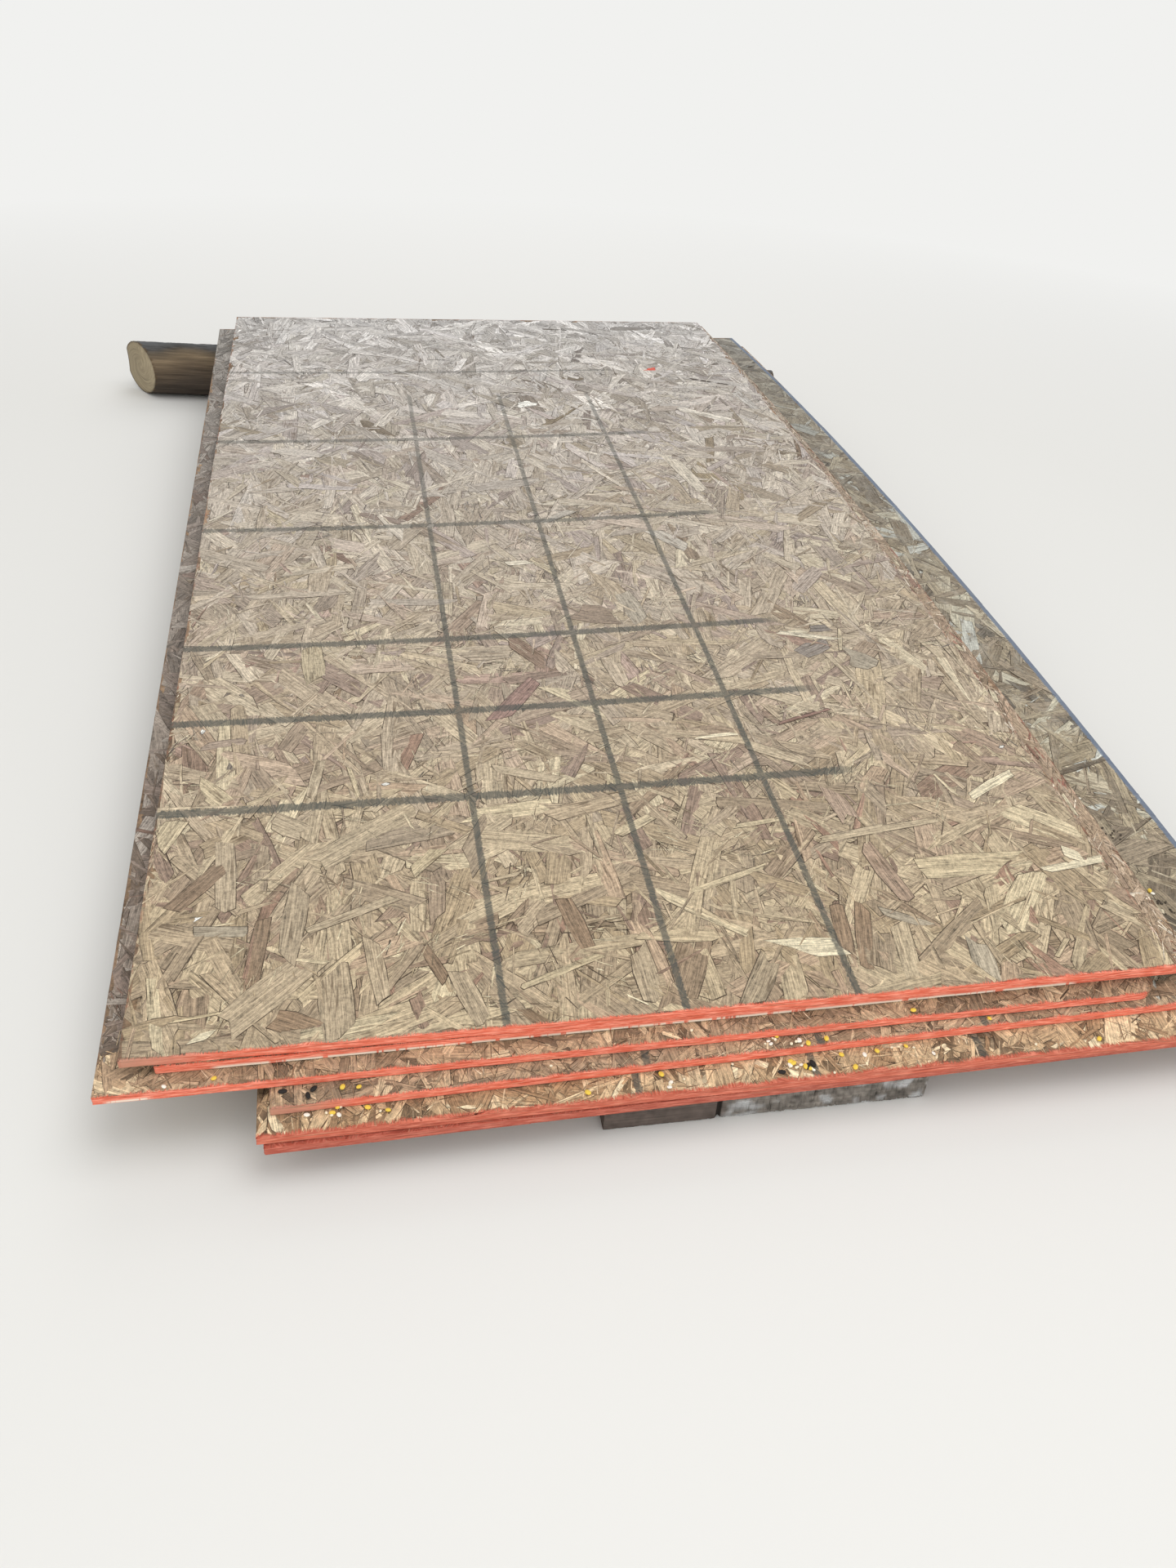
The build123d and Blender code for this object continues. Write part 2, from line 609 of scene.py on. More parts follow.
@dataclass(frozen=True)
class OsbFinish:
    """Oriented strand board: wood flakes pressed flat with resin, then rained on and bleached.

    To the eye it is matt scales of one colour each, with fine fibres along them and painted
    shade in the seams between them. The short ends are sprayed with an orange-red edge seal,
    whose mist soaks into the arris, and grey guide lines are printed on the face.
    """

    name: str
    seed: float
    lines: bool = True
    # The seal's colour where thick, where thin, and the pale colour of its painted glints
    paint: tuple[str, str, str] = ("EA785D", "C4543C", "FFA890")
    faded_from_left_mm: float = 0.0
    mist_mm: float = 3.6
    chipped_mm: tuple = (0.0, 0.0)
    side_flecks: bool = True
    bleached: float = 0.0
    blue_edge_mm: float = 0.0

    # Colours laid over the strands
    split_brown = "5B4A38"
    weather_grey = "A39B8C"
    bleached_grey = "C9C7BC"
    # Painted shade in the seams between strands, at their sunken feet
    seam_shade = "382C22"
    line_grey = "4A4D49"
    faded_paint = "C08C76"
    fleck_red = "B4604C"
    bare_wood = "EBDCC9"
    edge_blue = "68768A"
    # How far in from a short end's plane a point still counts as on its painted face
    end_face_mm = 0.75

    def masks(self) -> dict[str, tuple]:
        """The masks that are weighted sums of other values.

        Returns:
            For each mask's name its offset, and its gains by value.
        """
        first, last = self.chipped_mm
        faded = self.faded_from_left_mm
        return {
            # Where the seams' painted shade goes: 1 at a strand's foot, 0 on top
            "seam": (1.0, {"rim": -1.0}),
            "foot": (-1.0, {"rim": 1.0}),
            "behind": (-1.2, {"y": 0.004}),
            "inked": (0.08, {"fibre": 1.3}),
            "fresh": (1.2, {"y": -0.0003}),
            "mist": (0.3 * (self.mist_mm - 11.5), {"whisker": 3.9, "wave": 3.0, "y": -0.3}),
            "thick": (-1.0, {"strata": 3.2}),
            "faded": (1.0, {"x": -1.0 / faded}) if faded else (0.0, {"x": 0.0}),
            "from_first": (-0.1 * first, {"x": 0.1}),
            "to_last": (0.1 * last, {"x": -0.1}),
            "blue": (0.6 * (self.blue_edge_mm - SHEET_WIDTH - 2.0), {"x": 0.6, "feather_long": 2.4}),
        }

    def ink(self, surface: Surface) -> Socket:
        """Printed lines: 1 where a point is within half a line's width of any of them.

        Args:
            surface: the material.

        Returns:
            The mask, whose lines have feathered edges and fade out at their ends.
        """
        add = surface.add
        across = surface.weigh(-2.0, {"x": 1.0, "feather_long": 4.0}, clamp=False)
        along = surface.weigh(-6.0, {"y": 1.0, "feather_cross": 12.0}, clamp=False)
        run = surface.weigh(2.0, {"x": 1.0, "feather_long": -4.0}, clamp=False)
        lines = [(across, middle, 0.6, 5.2, surface.at["y"], 0.05, 1890.0) for middle in LONG_LINES]
        for inches, (half, end) in CROSS_LINES.items():
            lines.append((along, SHEET_LENGTH - 25.4 * inches, 0.4, half, run, 0.03, end))
        ink = 0.0
        for place, middle, sharp, half, way, fade, end in lines:
            off = add("Math", place, middle, operation="SUBTRACT")
            off = add("Math", off, operation="ABSOLUTE")
            near, before = (
                add("Math", value, -gain, gain * limit, operation="MULTIPLY_ADD", use_clamp=True)
                for value, gain, limit in ((off, sharp, half), (way, fade, end))
            )
            near = add("Math", near, before, operation="MULTIPLY")
            ink = add("Math", ink, near, operation="MAXIMUM")
        return ink

    def splits(self, surface: Surface) -> Socket:
        """Thin lines along the grain, where a long noise crosses its middle."""
        off = surface.add("Math", surface.at["split"], 0.5, operation="SUBTRACT")
        off = surface.add("Math", off, operation="ABSOLUTE")
        return surface.add("Math", off, -26.0, 1.0, operation="MULTIPLY_ADD", use_clamp=True)

    def seal(self, surface: Surface) -> Socket:
        """Where the edge seal is: all of the short ends, and its mist past the arris, less wear.

        Args:
            surface: the material.

        Returns:
            The mask.
        """
        add, y, seal = surface.add, surface.at["y"], surface.at["mist"]
        for operation, end in (
            ("LESS_THAN", self.end_face_mm), ("GREATER_THAN", SHEET_LENGTH - self.end_face_mm),
        ):
            seal = add("Math", seal, add("Math", y, end, operation=operation), operation="MAXIMUM")
        bare = add("Math", surface.at["faded"], 0.6, 0.45, operation="MULTIPLY_ADD")
        bare = add("Math", bare, surface.at["worn"], operation="MULTIPLY", use_clamp=True)
        bare = add("Math", 1.0, bare, operation="SUBTRACT")
        return add("Math", seal, bare, operation="MULTIPLY")

    def overspray(self, surface: Surface) -> Socket:
        """Flecks of seal that the spray left near the long edges.

        Args:
            surface: the material.

        Returns:
            The mask.
        """
        add, x = surface.add, surface.at["x"]
        inward = add("Math", SHEET_WIDTH, x, operation="SUBTRACT")
        inward = add("Math", x, inward, operation="MINIMUM")
        reach = add("Math", surface.at["whisker"], 8.0, operation="MULTIPLY")
        reach = add("Math", reach, inward, operation="SUBTRACT")
        return add("Math", reach, surface.at["fleck"], operation="MULTIPLY", use_clamp=True)

    def face(self, surface: Surface) -> Socket:
        """The strands' colour, with fibres, splits, weather, painted shade in the seams and printed lines.

        Args:
            surface: the material.

        Returns:
            The colour.
        """
        layer, add = surface.layer, surface.add
        colour = surface.shaded({"fibre": 1.8, "fine": 1.5, "rings": 0.45, "speck": 2.0})
        colour = layer(colour, self.split_brown, self.splits(surface), "torn", 0.75)
        colour = layer(colour, self.weather_grey, "blotch", 0.15)
        if self.bleached:
            colour = layer(colour, self.bleached_grey, "pale", "behind", self.bleached)
        # Painted shade in the seams, in patches
        colour = layer(colour, self.seam_shade, "seam", 1.5, "patchy")
        if self.lines:
            fresh = add("Math", surface.at["fresh"], 0.62, operation="MAXIMUM")
            colour = layer(colour, self.line_grey, self.ink(surface), "inked", fresh)
        return colour

    def make(self) -> bpy.types.Material:
        """Builds the node material: the face, then the seal, its chips and a blue long edge.

        Returns:
            The material.
        """
        surface = Surface(self.name, OSB_PATTERNS, self.seed)
        for name, (offset, gains) in self.masks().items():
            surface.at[name] = surface.weigh(offset, gains)
        layer, add = surface.layer, surface.add
        full, thin, bright = self.paint
        # The pale streaks laid over the seal are painted highlights
        paint = layer(layer(thin, full, "thick"), bright, "glint")
        faded = add("Math", surface.at["faded"], 0.6, operation="POWER")
        paint = layer(paint, self.faded_paint, faded)
        seal = self.seal(surface)
        colour = layer(self.face(surface), paint, seal)
        if self.side_flecks:
            colour = layer(colour, self.fleck_red, self.overspray(surface), 0.22)
        if any(self.chipped_mm):
            colour = layer(colour, self.bare_wood, "chip", "from_first", "to_last", "foot")
        if self.blue_edge_mm:
            colour = layer(colour, self.edge_blue, "blue", 0.85)
        relief = add("Math", surface.at["strata"], seal, surface.at["fibre"], operation="MULTIPLY_ADD")
        return surface.finish(colour, relief, 0.9, 0.7, Roughness=0.82, Specular_IOR_Level=0.3)


@dataclass(frozen=True)
class WoodFinish:
    """Solid wood or grain whose colour comes from its points, with fibres along the grain map.

    Fibres darken the wood and stand up from it, which gives a matt surface with fine streaks.
    """

    name: str
    fibre_mm: float
    streak_mm: float
    contrast: float
    relief_mm: float

    def make(self) -> bpy.types.Material:
        """Builds the node material: fine fibres, and bands four times as long, seven as wide.

        Returns:
            The material.
        """
        along, across = 1 / (self.streak_mm * MM), 1 / (self.fibre_mm * MM)
        surface = Surface(self.name, {
            "fibre": Pattern("grain", along, across, 5.0, 0.62),
            "band": Pattern("grain", along / 4, across / 7, 2.0, 0.62),
        })
        colour = surface.shaded({"fibre": 2 * self.contrast, "band": self.contrast})
        relief = surface.at["fibre"]
        return surface.finish(colour, relief, self.relief_mm, 0.8, Roughness=0.85, Specular_IOR_Level=0.25)


class Face(Enum):
    """Which face of a sheet strands lie on."""

    TOP = 1
    UNDERSIDE = -1


@dataclass(frozen=True)
class StrandKind:
    """One size class of strand, in millimetres: how many to a square metre, and how it lies.

    Spots are rows of places across and along the sheet and of directions in degrees, and, where
    they are set, of lengths and widths.
    """

    per_m2: float
    length: tuple[float, float]
    width: tuple[float, float]
    depth: tuple[float, float]
    corners: int
    bevel: float
    wood: Wood
    per_cluster: int = 1
    reach: float = SHEET_LENGTH + 8
    face: Face = Face.TOP

    # How far past the outline middles may lie, and the spread of directions in degrees
    overhang = 8
    spread = 34
    # A cluster's spread along and across its direction, and of its directions
    cluster = (34, 9, 11)
    # Shapes of the length and width draws, most of them short and narrow
    length_beta = (1.8, 2.2)
    width_beta = (1.5, 2.4)
    # Spreads of the ends' slant and of their nicks, as shares of the width
    slant = 0.34
    nick = 0.16

    def scatter(self, rng: Rng) -> Array:
        """Spots over a whole face: evenly, or in long narrow clusters that share a direction.

        Half of them run near the sheet's length, the others any way.

        Args:
            rng: the seeded generator.

        Returns:
            The spots.
        """
        count = int(self.per_m2 * SHEET_WIDTH * self.reach / 1e6 / self.per_cluster)
        x = rng.uniform(-self.overhang, SHEET_WIDTH + self.overhang, count)
        y = rng.uniform(-self.overhang, self.reach, count)
        along = rng.random(count) < 0.5
        angle = np.where(along, rng.normal(90, self.spread, count), rng.uniform(0, 180, count))
        if self.per_cluster > 1:
            x, y, angle = (np.repeat(v, self.per_cluster) for v in (x, y, angle))
            run, off = (rng.normal(0, reach, len(x)) for reach in self.cluster[:2])
            x, y = turned(run, off, np.radians(angle), (x, y))
            angle = angle + rng.normal(0, self.cluster[2], len(x))
        return np.stack([x, y, angle])

    def outline(self, rng: Rng, spots: Array) -> tuple:
        """Outlines of strands about their own middles, along u and across v.

        Eight corners give a flake with bowed sides and ragged, slanted ends; four give a
        tapered splinter.

        Args:
            rng: the seeded generator.
            spots: the strands' spots.

        Returns:
            u and v, one row a strand, and the strands' lengths and widths.
        """
        count = spots.shape[1]
        drawn = [
            low + (high - low) * rng.beta(*shape, count)
            for (low, high), shape in ((self.length, self.length_beta), (self.width, self.width_beta))
        ]
        length, width = spots[3:] if len(spots) > 3 else drawn
        flake = self.corners == 8
        u = np.tile([-1.0, 0, 1, 1, 1, 0, -1, -1] if flake else [-1.0, 1, 1, -1], (count, 1))
        v = np.tile([-1.0, -1, -1, 0, 1, 1, 1, 0] if flake else [-1.0, -1, 1, 1], (count, 1))
        slant = rng.normal(0, self.slant, (count, 2)) * width[:, None] / length[:, None]
        u += np.where(u > 0, slant[:, :1], slant[:, 1:]) * v * 2 * (u != 0)
        if flake:
            nick = rng.normal(0.0, self.nick, (count, 2)) * width[:, None] / length[:, None]
            u[:, 3] += nick[:, 0] * 2
            u[:, 7] -= nick[:, 1] * 2
            v[:, (1, 5)] *= rng.uniform(0.93, 1.08, (count, 2))
            v[:, (0, 2, 4, 6)] *= rng.uniform(0.72, 1.02, (count, 4))
        else:
            v *= rng.uniform(0.15, 1.0, (count, 4))
        return u * length[:, None] / 2, v * width[:, None] / 2, length, width


FLAKES = StrandKind(1650, (68, 180), (17, 52), (0.30, 1.0), 8, 1.5, Wood.WEATHERED)
SLIVERS = StrandKind(950, (26, 84), (4.0, 15), (0.12, 0.75), 4, 1.0, Wood.WEATHERED)
CHIPS = StrandKind(2300, (18, 62), (6, 22), (0.1, 0.5), 8, 1.1, Wood.SHELTERED, reach=150)
FIBRES = StrandKind(9000, (7, 36), (0.9, 3.0), (0.02, 0.3), 4, 0.3, Wood.LEDGE, reach=84)
UNDER = StrandKind(1000, (90, 190), (26, 62), (0.3, 1), 8, 1.5, Wood.SHELTERED, face=Face.UNDERSIDE)
FINES = StrandKind(1800, (8, 34), (1.3, 4.2), (0.03, 0.5), 4, 0.5, Wood.FINES, per_cluster=26)
MARKED = StrandKind(0, (1, 1), (1, 1), (0.03, 0.08), 8, 1.4, Wood.TAN)
FRAYED = StrandKind(0, (8, 44), (1.6, 8.0), (0.02, 0.5), 4, 0.3, Wood.BROKEN)

# Strands of the top sheet that stand out: middle across and along, angle, length, width
STANDING_OUT = {
    Wood.TAN: (
        (149, 80, 45, 127, 45), (176, 188, 84, 119, 29), (224, 57, 93, 109, 40),
        (93, 282, 93, 121, 27), (706, 36, 57, 79, 30), (270, 102, 96, 97, 22),
        (370, 50, 105, 78, 25), (574, 64, 92, 77, 30),
    ),
    Wood.STRAW: (
        (244, 196, 24, 116, 15), (169, 364, 142, 53, 35), (201, 465, 81, 87, 17),
        (849, 454, 147, 91, 25), (899, 273, 10, 88, 15), (486, 447, 157, 94, 20),
        (939, 277, 7, 177, 15), (1192, 95, 136, 46, 26), (893, 61, 81, 93, 25),
    ),
    Wood.PALE: (
        (337, 283, 49, 55, 21), (197, 757, 94, 95, 39), (18, 369, 70, 48, 34),
        (68, 442, 128, 55, 31), (252, 453, 100, 66, 8), (78, 53, 8, 56, 6),
        (1039, 737, 73, 68, 8), (613, 322, 30, 62, 18), (777, 309, 7, 63, 10),
        (712, 207, 19, 111, 12), (1026, 197, 178, 124, 45), (480, 77, 22, 107, 11),
        (937, 1400, 100, 169, 32),
    ),
    Wood.CREAM: (
        (989, 756, 159, 97, 13), (771, 507, 3, 60, 10), (1130, 350, 28, 93, 17),
        (785, 80, 176, 69, 33), (1173, 182, 8, 90, 15), (1178, 200, 142, 27, 21),
        (972, 770, 5, 36, 14), (552, 1057, 2, 44, 18), (84, 24, 15, 22, 12),
    ),
    Wood.WHITE: (
        (45, 589, 70, 9, 7), (294, 444, 20, 9, 7), (65, 207, 40, 8, 6), (661, 1812, 10, 33, 30),
        (662, 1813, 60, 36, 22), (1181, 429, 0, 8, 7),
    ),
    Wood.RED: ((998, 2029, 0, 26, 18), (1006, 2036, 50, 16, 9)),
    Wood.BROWN: (
        (135, 145, 84, 108, 21), (62, 260, 53, 90, 25), (76, 557, 12, 53, 18),
        (173, 34, 151, 37, 32), (335, 104, 110, 57, 16), (657, 866, 159, 73, 58),
        (1046, 936, 48, 87, 34), (827, 102, 81, 88, 21), (850, 90, 74, 103, 21),
        (507, 152, 101, 87, 25), (440, 7, 128, 45, 15),
    ),
    Wood.RUST: ((496, 631, 55, 117, 29), (917, 539, 17, 89, 9)),
    Wood.GREY: (
        (93, 182, 174, 61, 19), (722, 884, 97, 98, 35), (1050, 675, 137, 49, 47),
        (910, 115, 149, 57, 16), (982, 37, 83, 65, 29), (1172, 1792, 99, 114, 26),
        (645, 1233, 33, 83, 22), (840, 1118, 122, 85, 31),
    ),
    Wood.PINK: ((902, 330, 95, 67, 31), (917, 197, 100, 103, 26), (1213, 119, 125, 45, 27)),
    Wood.DARK: (
        (988, 719, 28, 60, 38), (1016, 776, 1, 35, 22), (87, 502, 80, 12, 8),
        (74, 682, 70, 9, 7), (94, 678, 110, 9, 7),
    ),
}

# The same for the strip of the second sheet that shows past the top sheet's right edge
STRIP_MARKS = {
    Wood.CREAM: (
        (1208, 987, 84, 26, 9), (1205, 697, 96, 24, 9), (1203, 560, 80, 30, 10),
        (1206, 1190, 92, 40, 7), (1198, 300, 88, 46, 8),
    ),
    Wood.RUST: ((1209, 917, 88, 46, 11), (1200, 420, 95, 38, 7), (1212, 1420, 86, 60, 6)),
    Wood.PINK: ((1205, 655, 90, 64, 13), (1196, 180, 88, 90, 12), (1210, 1600, 91, 120, 8)),
}


@dataclass
class Sheet:
    """One OSB sheet: where it lies in the pile, and its strands, edges and finish (mm)."""

    name: str
    level: int
    left: float
    front: float
    turn: float
    seed: int
    finish: OsbFinish
    slot: str = "osb"
    broken_corner: float = CORNER_RADIUS
    wood: Wood = Wood.SHELTERED
    side: tuple = (0.0, 0.0, Wood.WEATHERED)
    # The far end's colour: partly weathering, partly painted light of the far end
    far_tone: str = "B8B6B5"
    greying: tuple = (0.0, 0.9, 1.3)
    marks: dict = field(default_factory=dict)
    frayed: tuple = ()
    rng: Rng = field(init=False)

    # Strands that lie further than this under another sheet are left out
    hidden_past = 48.0
    # Strands past this line lie on ground that the spray and the sheet above have sheltered
    ledge = 45
    # How far a strand's place in the face may vary, and how unlike its neighbours it weathers
    shallowest, deepest = 0.03, 1.12
    tilt = (0.10, 0.16)
    own_greying = 0.3
    # A strand that the outline has cut down to less than this share of its bevel is dropped
    least_share = 0.25
    # The slab: its inset and its points across and along
    slab_inset, slab_grid = 9.0, (18, 34)
    slab_tone = "8E7B63"
    # The edge: heights of its rows, how far its inner rows lie in, its points' spacing and colours
    edge_rows = (0.25, 1.0, 2.4, 4.0, 5.6, 7.2, 8.8, 10.1, 10.75)
    edge_inner = 13.0
    edge_step = 5.0
    edge_tones = ("7A6350", "94795C", "6A5443", "A58A68", "82694F")

    def to_pile(self, x: Array, y: Array) -> tuple:
        """Pile coordinates of a point of the sheet: turned about its left front corner."""
        return turned(x, y, math.radians(self.turn), (self.left, self.front))

    def covers(self, x: Array, y: Array) -> Array:
        """Whether pile points lie so far under or over this sheet that they can't be seen."""
        x, y = turned(x - self.left, y - self.front, -math.radians(self.turn))
        m = self.hidden_past
        return (x > m) & (x < SHEET_WIDTH - m) & (y > m) & (y < SHEET_LENGTH - m)

    def keep_inside(self, x: Array, y: Array) -> tuple:
        """Moves points past the sheet's outline back to it, the rounded corner included.

        Args:
            x: places across the sheet.
            y: places along it.

        Returns:
            The moved places.
        """
        x = np.clip(x, EDGE_CLEARANCE, SHEET_WIDTH - EDGE_CLEARANCE)
        y = np.clip(y, EDGE_CLEARANCE, SHEET_LENGTH - EDGE_CLEARANCE)
        radius = self.broken_corner
        out, down = x - (SHEET_WIDTH - radius), radius - y
        away = np.hypot(out, down)
        past = (out > 0) & (down > 0) & (away > radius - EDGE_CLEARANCE)
        pull = np.where(past, (radius - EDGE_CLEARANCE) / np.maximum(away, 1e-6), 1.0)
        x = np.where(past, SHEET_WIDTH - radius + out * pull, x)
        return x, np.where(past, radius - down * pull, y)

    def place(self, x: Array, y: Array, z: Array) -> Array:
        """World points of points of the sheet, z over its underside."""
        px, py = self.to_pile(x, y)
        return PILE.place(px, py, z + self.level * SHEET_PITCH)

    def weather(self, tone: Array, y: Array, own: Array | float = 0.0) -> Array:
        """Greys colours towards the far end, partly weathering and partly painted light: start plus
        gain times the length share to a power.

        Args:
            tone: the colours.
            y: their places along the sheet.
            own: how much lighter each one's own grey is.

        Returns:
            The greyed colours.
        """
        start, gain, power = self.greying
        share = start + gain * np.clip(y / SHEET_LENGTH, 0, 1)[:, None] ** power
        return tone * (1 - share) + linear(self.far_tone) * (1 + own) * share

    def strands(
        self, kind: StrandKind, spots: Array | None = None, wood: Wood | None = None
    ) -> Patch:
        """Strands on a face, each a closed thin flake with a bevelled border.

        A strand's top ring is its outline drawn in by the bevel, at its own depth and tilt
        under the sheet's face; its bottom ring is the outline, one flake's thickness lower.

        Args:
            kind: the size class.
            spots: the spots to use, or None to scatter them all over.
            wood: colours to draw from, or None for the face's own.

        Returns:
            The patch of strands.
        """
        rng = self.rng
        if spots is None:
            spots = kind.scatter(rng)
            spots = spots[:, self.shown(spots, kind.face)]
        *middle, angle = spots[:3, :, None]
        count = len(angle)
        u, v, length, width = kind.outline(rng, spots)
        depth = rng.uniform(*kind.depth, count)
        tilt_u, tilt_v = (
            rng.normal(0, tilt, count) / size * 2 for tilt, size in zip(self.tilt, (length, width))
        )
        bevel = np.minimum(kind.bevel, width * 0.3)
        u = np.concatenate([u, u * (1 - 2 * bevel / length)[:, None]], 1)
        v = np.concatenate([v, v * (1 - 2 * bevel / width)[:, None]], 1)
        drawn = turned(u, v, np.radians(angle), middle)
        x, y = self.keep_inside(*drawn)
        held = np.hypot(x - drawn[0], y - drawn[1]) > 1e-6
        along, across = turned(x - middle[0], y - middle[1], -np.radians(angle))
        k = kind.corners
        ring = np.arange(2 * k) >= k
        top = depth[:, None] + tilt_u[:, None] * along + tilt_v[:, None] * across
        sunk = np.clip(top, self.shallowest, self.deepest) + np.where(ring, 0.0, FLAKE_THICKNESS)
        on_top = kind.face is Face.TOP
        z = SHEET_THICKNESS - sunk if on_top else sunk
        area = x[:, k:] * np.roll(y[:, k:], -1, 1) - np.roll(x[:, k:], -1, 1) * y[:, k:]
        good = np.abs(area.sum(1)) / 2 > self.least_share * length * bevel
        tone = wood.draw(rng, count) if wood else self.tint(kind, spots)
        if on_top and wood not in (Wood.WHITE, Wood.RED):
            tone = self.weather(tone, spots[1], self.own_greying * rng.standard_normal((count, 1)))
        shift = rng.uniform(0, 40, (count, 2))
        grain = np.stack([along * MM + shift[:, :1], across * MM + shift[:, 1:]], -1)
        start = (np.arange(good.sum()) * 2 * k)[:, None]
        lap = np.arange(k)
        after = (lap + 1) % k
        caps = np.concatenate([start + k + lap, start + lap[::-1]])
        sides = (np.stack([lap, after, after + k, lap + k], -1)[None] + start[:, None]).reshape(-1, 4)
        if not on_top:
            caps, sides = caps[:, ::-1], sides[:, ::-1]
        colours = np.clip(np.repeat(tone[:, None], 2 * k, 1), 0, 1)
        flat = np.stack([x, y], -1) * MM
        values = (self.place(x, y, z), grain, colours, flat, np.where(ring | held, 1.0, 0.0))
        points, grain, colours, flat, rim = (value[good] for value in values)
        return Patch(points, grain, colours, [caps, sides], flat, rim)

    def shown(self, spots: Array, face: Face) -> Array:
        """Whether spots on the face can be seen past the sheets that lie against it."""
        x, y = self.to_pile(*spots[:2])
        against = [sheet for sheet in SHEETS if (sheet.level - self.level) * face.value > 0]
        return ~np.any([np.zeros(len(x), bool)] + [sheet.covers(x, y) for sheet in against], 0)

    def tint(self, kind: StrandKind, spots: Array) -> Array:
        """Colours by place: the kind's own on top, sheltered wood lower, the side's past it.

        Args:
            kind: the size class.
            spots: the strands' spots.

        Returns:
            One linear colour a strand.
        """
        (x, y), count = spots[:2], spots.shape[1]
        if self.level == TOP_LEVEL or kind is FIBRES:
            return kind.wood.draw(self.rng, count)
        tone = self.wood.draw(self.rng, count)
        low, high, wood = self.side
        aside = (x > low) & (x < high) & ((y > self.ledge) | (self.level == TOP_LEVEL - 1))
        tone[aside] = wood.draw(self.rng, count)[aside]
        return tone

    def slab(self) -> Patch:
        """The board's middle: a closed block on a grid, its faces sunk under the strands.

        Returns:
            The block, with its right front corner drawn in behind the broken one.
        """
        inset, (nx, ny) = self.slab_inset, self.slab_grid
        x, y = np.meshgrid(
            np.linspace(inset, SHEET_WIDTH - inset, nx),
            np.linspace(inset, SHEET_LENGTH - inset, ny),
            indexing="ij",
        )
        corner = (x > SHEET_WIDTH - inset - 1) & (y < inset + 1)
        drawn_in = self.broken_corner * 0.3
        x, y = np.where(corner, x - drawn_in, x), np.where(corner, y + drawn_in, y)
        points = np.stack([self.place(x, y, SHEET_THICKNESS - FACE_LAYER), self.place(x, y, FACE_LAYER)])
        number = np.arange(nx * ny).reshape(nx, ny)
        border = [number[:-1, 0], number[-1, :-1], number[:0:-1, -1], number[0, :0:-1]]
        border = np.concatenate(border)
        after = np.roll(border, -1)
        walls = np.stack([border + nx * ny, after + nx * ny, after, border], -1)
        flat = np.tile(np.stack([x.ravel(), y.ravel()], -1) * MM, (2, 1))
        tone = self.weather(np.tile(linear(self.slab_tone), (len(flat), 1)), flat[:, 1] / MM)
        faces = grid_faces(nx, ny)
        return Patch(points, flat, tone, [faces[:, ::-1], faces + nx * ny, walls])

    def edge_band(self) -> Patch:
        """The board's edge: a profile of pressed layers carried round the outline.

        The profile runs up the outer face in rows and closes inside the slab. Each row is set
        in by two noises along the path, 35 mm and 155 mm long, and the arrises by 0.3 mm more.

        Returns:
            The closed band.
        """
        rng = self.rng
        radii = (CORNER_RADIUS, self.broken_corner, CORNER_RADIUS, CORNER_RADIUS)
        path, outward = rounded_outline(
            (SHEET_WIDTH, SHEET_LENGTH), radii, arc_points=7, step=self.edge_step
        )
        lap, outer = len(path), len(self.edge_rows)
        rows = outer + 2
        relief = np.abs(smooth_noise(rng, (outer, lap), 7)) * 0.16
        relief += np.abs(smooth_noise(rng, (outer, lap), 31)) * 0.14
        relief[(0, -1), :] += 0.3
        inset = np.concatenate([EDGE_CLEARANCE * 0.25 + relief, np.full((2, lap), self.edge_inner)])
        inner = (SHEET_THICKNESS - FACE_LAYER - 0.1, FACE_LAYER + 0.1)
        x = path[None, :, 0] - outward[None, :, 0] * inset
        y = path[None, :, 1] - outward[None, :, 1] * inset
        z = np.broadcast_to(np.array(self.edge_rows + inner)[:, None], x.shape)
        grain = np.stack([np.broadcast_to(run_along(path), x.shape), z], -1) * MM
        browns = np.array([linear(code) for code in self.edge_tones])
        tone = browns[rng.integers(0, len(browns), rows)][:, None]
        tone = tone * (1 + 0.16 * smooth_noise(rng, (rows, lap), 14))[:, :, None]
        faces = grid_faces(rows + 1, lap, closed=True) % (rows * lap)
        # The rim runs over 1 at the foot of the outer face, where chips of the seal are gone
        rim = np.ones((rows, lap))
        rim[:4] = np.array([2.0, 2.0, 2.0, 1.3])[:, None]
        flat = np.stack([x, y], -1) * MM
        return Patch(self.place(x, y, z), grain, np.clip(tone, 0.01, 1), [faces], flat, rim)

    def build(self) -> None:
        """Builds the sheet's board and strands and puts them in place of the CAD node."""
        self.rng = np.random.default_rng(self.seed)
        material = self.finish.make()
        board = Patch.join([self.slab(), self.edge_band()])
        piece = board.build(f"{self.name}_board", material, self.slot, smooth=True)
        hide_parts(self.name)
        on_top = self.level == TOP_LEVEL
        kinds = (FLAKES, SLIVERS, FINES) if on_top else (FLAKES, CHIPS, SLIVERS, FINES, FIBRES)
        patches = [self.strands(kind) for kind in kinds] + self.placed()
        if on_top:
            parts = {"flakes": patches[:1], "splinters": patches[1:]}
        else:
            under = [self.strands(UNDER)]
            parts = {"strands": patches + under}
            if self.level == 0:
                parts = {"underside_flakes": under, "strands": patches}
        for part, patches in parts.items():
            Patch.join(patches).build(f"{self.name}_{part}", material, self.slot)

    def placed(self) -> list[Patch]:
        """Strands placed one by one, and broken pale ones in a band along a frayed right edge.

        Returns:
            A patch for each wood.
        """
        patches = [
            self.strands(MARKED, np.array(rows, float).T, wood) for wood, rows in self.marks.items()
        ]
        if self.frayed:
            count, reach = self.frayed
            y = self.rng.uniform(0, SHEET_LENGTH, count)
            x = SHEET_WIDTH - self.rng.beta(1.1, 1.3, count) * reach
            spots = np.stack([x, y, self.rng.normal(90, 21, count)])
            patches.append(self.strands(FRAYED, spots, Wood.BROKEN))
        return patches


